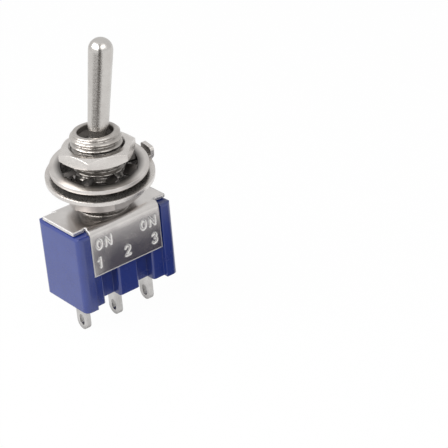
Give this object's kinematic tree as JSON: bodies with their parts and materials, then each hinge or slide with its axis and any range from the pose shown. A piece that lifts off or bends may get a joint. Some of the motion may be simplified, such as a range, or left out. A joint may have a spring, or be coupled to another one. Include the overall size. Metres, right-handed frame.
{
  "type": "toggle switch",
  "caption": "Miniature panel-mount toggle switch with a bat lever, threaded bushing with nuts and washers, folded metal bracket, moulded case and solder lugs.",
  "frame": {"origin": "on the bushing's axis, in the top face of the bracket plate, which is the face that a panel is measured from", "axes": "+Z runs out through the bushing, X is the lever's throw, Y crosses it; the lever is stored thrown to +X"},
  "size_m": [0.0138, 0.0126, 0.0348],
  "materials": {
    "case_plastic": "satin moulded thermoset, ultramarine blue",
    "bracket_nickel": "nickel-plated folded steel sheet",
    "hardware_nickel": "nickel-plated turned and stamped metal",
    "lever_nickel": "nickel plate with fine turning marks",
    "lug_tin": "tinned, slightly dull",
    "seal_resin": "glossy dark red casting resin",
    "contact_silver": "silver contact face",
    "rocker_bronze": "bronze strip",
    "spring_steel": "spring steel",
    "plunger_plastic": "moulded nylon"
  },
  "bodies": {
    "housing": {"case": "case_plastic", "frame_bracket": "bracket_nickel", "bushing": "hardware_nickel", "bottom_nut": "hardware_nickel", "locating_washer": "hardware_nickel", "lock_washer": "hardware_nickel", "top_nut": "hardware_nickel", "terminal_left": "lug_tin", "terminal_common": "lug_tin", "terminal_right": "lug_tin", "seal_left": "seal_resin", "seal_common": "seal_resin", "seal_right": "seal_resin", "pad_left": "contact_silver", "pad_right": "contact_silver"},
    "toggle": {"lever": "lever_nickel", "pivot_pin": "spring_steel", "plunger_spring": "spring_steel"},
    "plunger_body": {"plunger": "plunger_plastic"},
    "rocker_body": {"rocker": "rocker_bronze", "rocker_button_left": "contact_silver", "rocker_button_right": "contact_silver"}
  },
  "joints": [
    {"name": "lever_throw", "type": "hinge", "parent": "housing", "child": "toggle", "pos_m": [0, 0, 0.007], "axis": [0, 1, 0], "range_deg": [-19.6, 0]},
    {"name": "rocker_tilt", "type": "hinge", "parent": "housing", "child": "rocker_body", "pos_m": [0, 0, -0.006], "axis": [0, 1, 0], "range_deg": [0, 16]},
    {"name": "plunger_travel", "type": "slide", "parent": "toggle", "child": "plunger_body", "axis": [0.1702, 0, 0.9854], "range_m": [0, 0.0005], "stiffness_N_per_m": 30, "deforming": ["plunger_spring"]}
  ],
  "couplings": [
    {"joint": "rocker_tilt", "follows": "lever_throw", "ratio": -0.81633}
  ]
}
